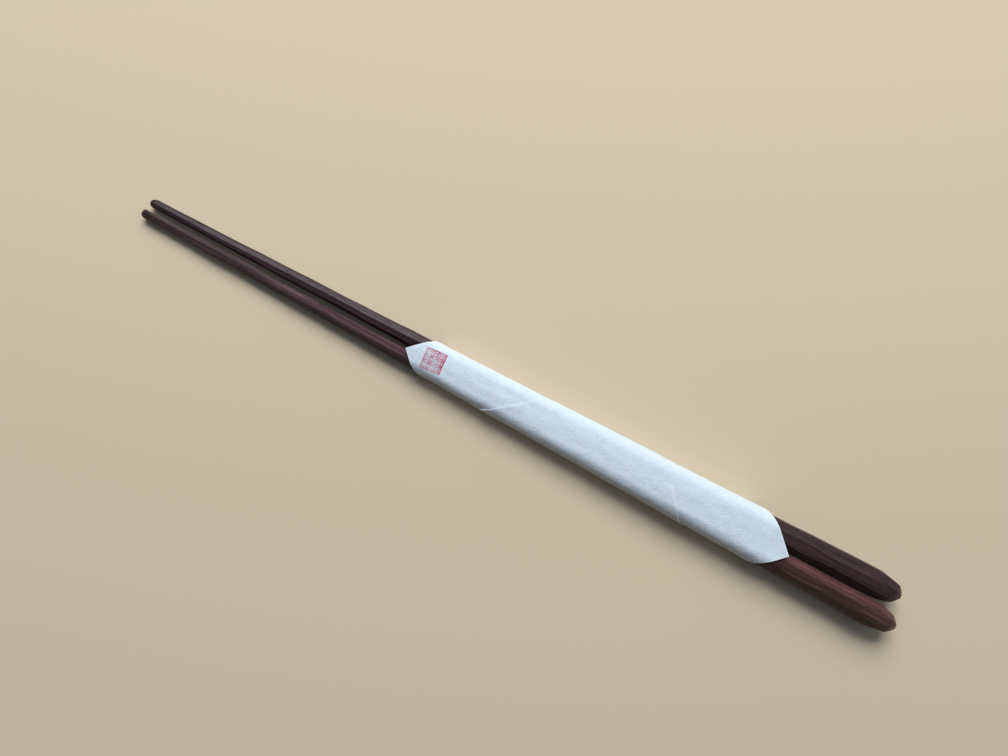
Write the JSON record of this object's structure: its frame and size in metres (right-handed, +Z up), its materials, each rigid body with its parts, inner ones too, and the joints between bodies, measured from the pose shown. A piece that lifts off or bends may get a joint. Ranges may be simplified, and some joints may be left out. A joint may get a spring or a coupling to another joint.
{
  "type": "chopsticks in paper sleeve",
  "caption": "Hand-carved dark wooden chopsticks lying side by side, held together by a square of white handmade paper rolled corner to corner round them.",
  "frame": {"origin": "centre of the pair's length and width, on the surface that it lies on", "axes": "+X from the tips to the butt ends, +Y towards the back stick, +Z up"},
  "size_m": [0.238, 0.0155, 0.0084],
  "materials": {
    "wood": "satin",
    "paper": "matte"
  },
  "bodies": {
    "root": {"chopstick_front": "wood", "chopstick_back": "wood", "paper_sleeve": "paper"}
  },
  "joints": []
}
